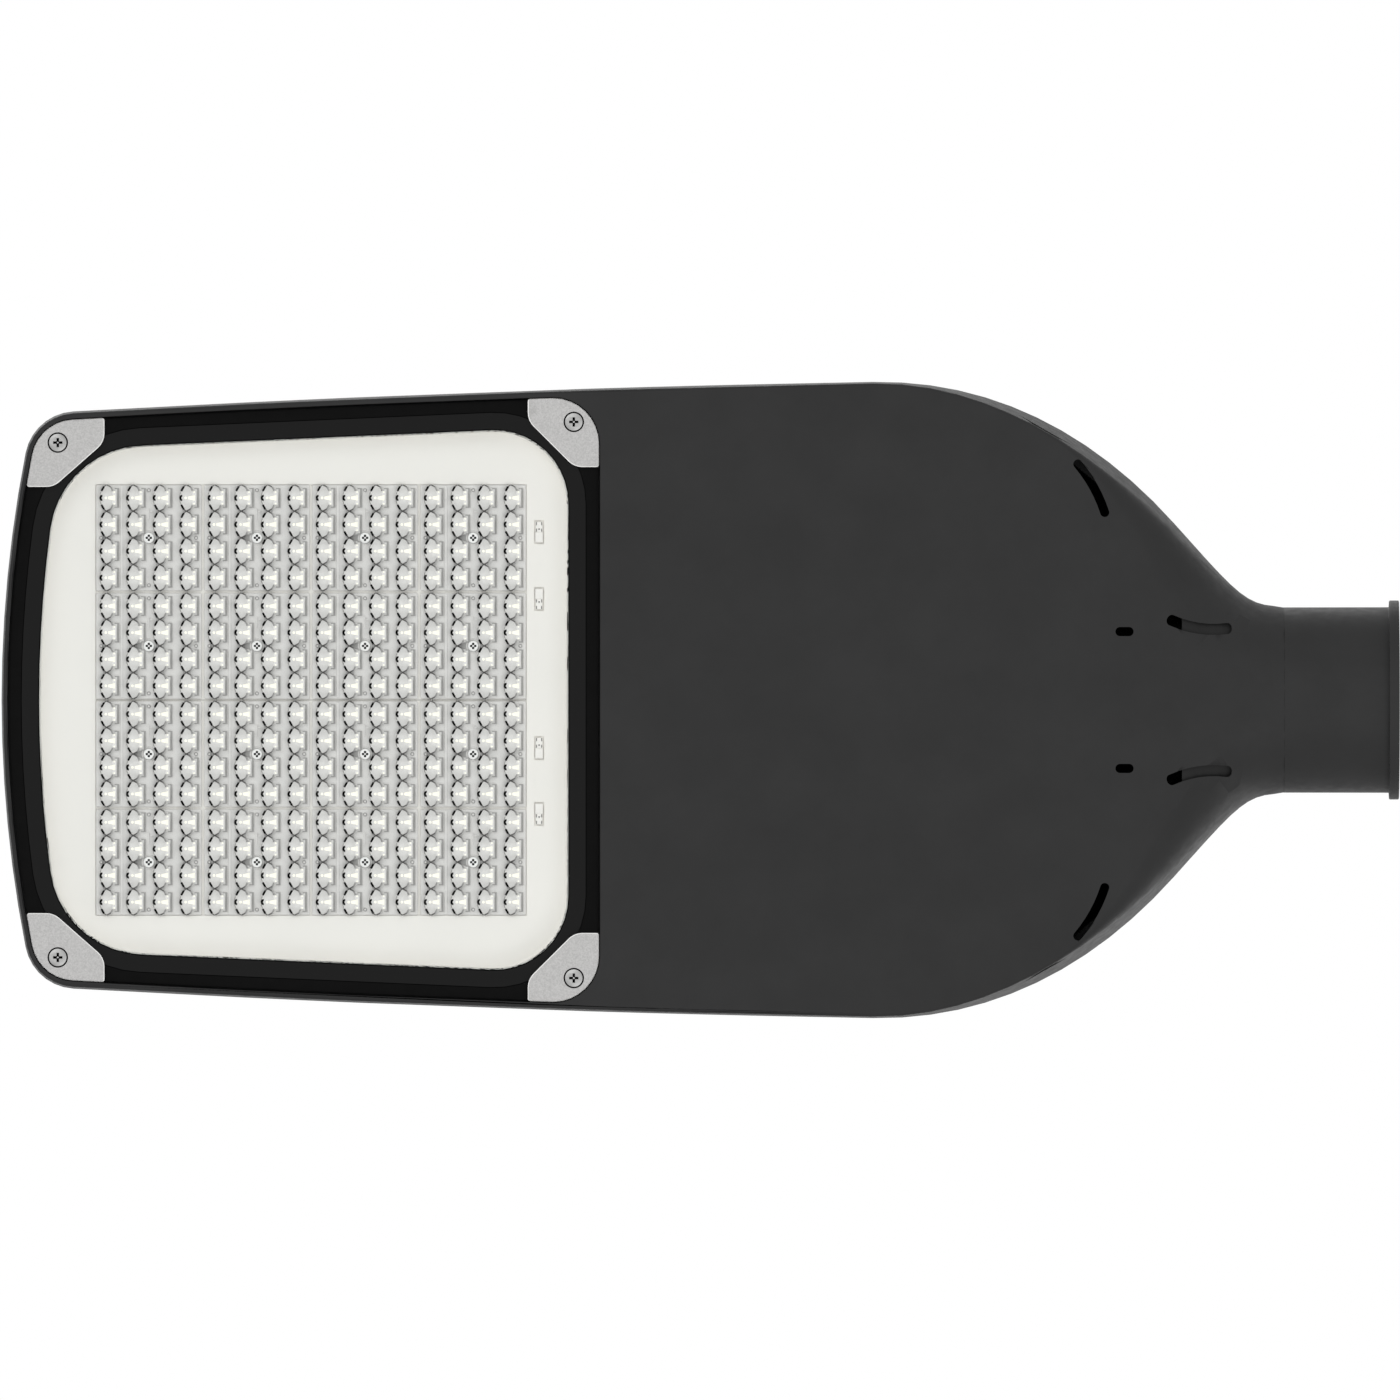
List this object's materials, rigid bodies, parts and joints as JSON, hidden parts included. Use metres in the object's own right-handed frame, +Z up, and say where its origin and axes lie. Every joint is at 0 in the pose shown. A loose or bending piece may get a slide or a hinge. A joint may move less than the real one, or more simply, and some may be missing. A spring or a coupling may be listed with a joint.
{
  "type": "led street light",
  "caption": "Pole-mounted LED street light head: flat die-cast body with a glazed lens field below, cooling fins on top, a screwed gear cover and a side-entry pole socket.",
  "frame": {"origin": "centre of the mouth of the pole socket, on its axis", "axes": "+X along the socket axis, out towards the pole; +Z up; the lamp faces down, -Z, and the body reaches to -X"},
  "size_m": [0.648, 0.2952, 0.1],
  "materials": {
    "body_paint": "fine-textured dark grey powder coat on die-cast aluminium",
    "black_rubber": "smooth black silicone rubber",
    "clear_glass": "clear tempered glass with a black enamelled border",
    "bracket_metal": "fine-blasted light grey aluminium with bright bevelled edges",
    "screw_steel": "satin stainless steel",
    "white_sheet": "matt white coated aluminium sheet",
    "board_white": "white solder mask on an aluminium-core board",
    "white_plastic": "white moulded plastic",
    "lens_plastic": "clear moulded acrylic optics",
    "driver_case": "plain extruded aluminium case",
    "blue_plastic": "plain blue moulded case",
    "cream_plastic": "plain cream moulded terminal body",
    "black_plastic": "black nylon",
    "brass": "plain brass"
  },
  "bodies": {
    "root": {"housing": "body_paint", "gear_cover": "body_paint", "gear_cover_seal": "black_rubber", "gear_cover_screws": "screw_steel", "glass_cover": "clear_glass", "glass_seal": "black_rubber", "corner_bracket_front_left": "bracket_metal", "corner_bracket_front_right": "bracket_metal", "corner_bracket_back_left": "bracket_metal", "corner_bracket_back_right": "bracket_metal", "bracket_screws": "screw_steel", "reflector_plate": "white_sheet", "led_board_left": "board_white", "led_board_right": "board_white", "board_connectors": "white_plastic", "lens_screws": "white_plastic", "led_driver": "driver_case", "driver_screws": "screw_steel", "surge_protector": "blue_plastic", "terminal_block": "cream_plastic", "gear_screws": "screw_steel", "cable_gland": "black_plastic", "gland_locknut": "black_plastic", "board_lead_grommet": "black_rubber", "pressure_vent": "black_plastic", "earth_screw": "brass", "pole_set_screws": "screw_steel", "lens_module_1_1": "lens_plastic", "lens_module_1_2": "lens_plastic", "lens_module_1_3": "lens_plastic", "lens_module_1_4": "lens_plastic", "lens_module_2_1": "lens_plastic", "lens_module_2_2": "lens_plastic", "lens_module_2_3": "lens_plastic", "lens_module_2_4": "lens_plastic", "lens_module_3_1": "lens_plastic", "lens_module_3_2": "lens_plastic", "lens_module_3_3": "lens_plastic", "lens_module_3_4": "lens_plastic", "lens_module_4_1": "lens_plastic", "lens_module_4_2": "lens_plastic", "lens_module_4_3": "lens_plastic", "lens_module_4_4": "lens_plastic"}
  },
  "joints": []
}
